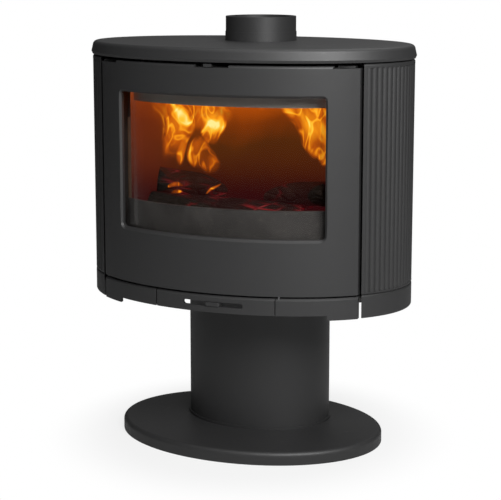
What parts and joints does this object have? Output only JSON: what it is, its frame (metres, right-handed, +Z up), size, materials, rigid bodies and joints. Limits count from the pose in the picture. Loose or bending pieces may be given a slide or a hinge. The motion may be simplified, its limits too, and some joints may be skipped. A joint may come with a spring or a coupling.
{
  "type": "wood burning stove",
  "caption": "Free-standing oval cast-iron wood stove on a pedestal tube, with a curved glass door, fluted side panels, an air lever and a top flue collar.",
  "frame": {"origin": "on the floor, below the middle of the oval lid", "axes": "+Z up, -Y towards the user in front of the door, +X to the right as seen from the front, the side of the door's free edge"},
  "size_m": [0.706, 0.4499, 0.9],
  "materials": {
    "cast_black": "matt heat-proof black paint on fine cast iron",
    "steel_black": "matt heat-proof black paint on steel",
    "cast_inner": "bare cast iron, sooted",
    "sheet_steel": "zinc-plated steel",
    "fire_board": "pressed heat-proof board, sooted",
    "stove_glass": "clear dark ceramic glass",
    "rope": "braided glass-fibre rope",
    "fastener": "plated steel"
  },
  "bodies": {
    "root": {"base_plate": "cast_black", "lid": "cast_black", "flue_collar": "cast_black", "side_panel_left": "cast_black", "side_panel_right": "cast_black", "side_skirt_left": "cast_black", "side_skirt_right": "cast_black", "back_skirt": "cast_black", "apron_centre": "cast_black", "apron_left": "cast_black", "tube_foot_ring": "cast_black", "pedestal_tube": "steel_black", "tube_top_flange": "steel_black", "back_panel": "steel_black", "firebox_side_left": "steel_black", "firebox_side_right": "steel_black", "firebox_back": "steel_black", "firebox_top": "steel_black", "hinge_bracket_upper": "steel_black", "catch_bracket": "steel_black", "hinge_bracket_lower": "steel_black", "casing_arms": "steel_black", "air_deflector": "steel_black", "firebox_floor": "cast_inner", "front_frame": "cast_inner", "fire_bed": "cast_inner", "grate": "cast_inner", "log_guard": "cast_inner", "bed_ledges": "cast_inner", "ash_pan": "sheet_steel", "ash_pan_rails": "sheet_steel", "latch_keeper": "sheet_steel", "lid_posts": "sheet_steel", "liner_left": "fire_board", "liner_right": "fire_board", "liner_back": "fire_board", "liner_corner_left": "fire_board", "liner_corner_right": "fire_board", "baffle_plate": "fire_board", "foot_ring_bolts": "fastener", "top_flange_bolts": "fastener", "flue_collar_bolts": "fastener", "hinge_pin_upper": "fastener", "hinge_pin_lower": "fastener", "air_lever_pin": "fastener"},
    "door": {"door_casting": "cast_black", "door_glass": "stove_glass", "glass_seal": "rope", "glass_retainer_top": "steel_black", "glass_retainer_bottom": "steel_black", "glass_retainer_screws": "fastener", "door_seal": "rope", "handle_pin": "fastener"},
    "door_pull": {"door_handle": "cast_black", "latch_tongue": "sheet_steel"},
    "primary_air": {"air_lever": "sheet_steel", "air_lever_tab": "cast_black", "air_valve_plate": "sheet_steel"},
    "airwash": {"airwash_slider": "sheet_steel", "airwash_knob": "cast_black"}
  },
  "joints": [
    {"name": "door_hinge", "type": "hinge", "parent": "root", "child": "door", "pos_m": [-0.2685, -0.12718, 0.585], "axis": [0, 0, -1], "range_deg": [0, 84]},
    {"name": "pull_pivot", "type": "hinge", "parent": "door", "child": "door_pull", "pos_m": [0.1345, -0.19983, 0.336], "axis": [0, 0, -1], "range_deg": [0, 12]},
    {"name": "air_lever_pivot", "type": "hinge", "parent": "root", "child": "primary_air", "pos_m": [0, -0.11, 0.336], "axis": [0, 0, 1], "range_deg": [-18, 18]},
    {"name": "airwash_slide", "type": "slide", "parent": "root", "child": "airwash", "axis": [1, 0, 0], "range_m": [-0.018, 0.018]}
  ]
}
